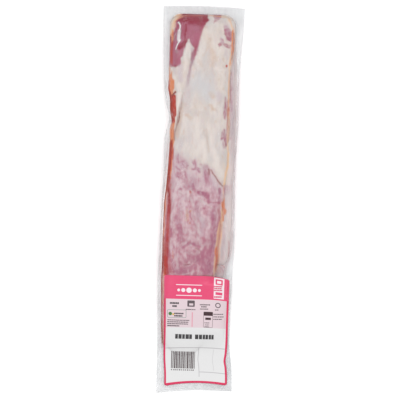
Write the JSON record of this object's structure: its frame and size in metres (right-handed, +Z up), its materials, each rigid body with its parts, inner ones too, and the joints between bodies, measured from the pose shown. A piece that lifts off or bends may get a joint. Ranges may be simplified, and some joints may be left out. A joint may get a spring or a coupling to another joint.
{
  "type": "raw pork tenderloin",
  "caption": "Raw pork tenderloin held tight in a long clear vacuum pouch with flat welded edges, lying flat, with a printed adhesive label over its tail end.",
  "frame": {"origin": "on the surface the pouch lies on, under the middle of its outline seen from above", "axes": "+Z up out of the label side, +Y along the meat towards its thick head end, +X towards the thin side strap"},
  "size_m": [0.088, 0.4155, 0.0299],
  "materials": {
    "film": "clear glossy film tight over pink lean and pale fat",
    "label": "satin print in pink, pale pink and white"
  },
  "bodies": {
    "root": {"vacuum_pack": "film", "label": "label"}
  },
  "joints": []
}
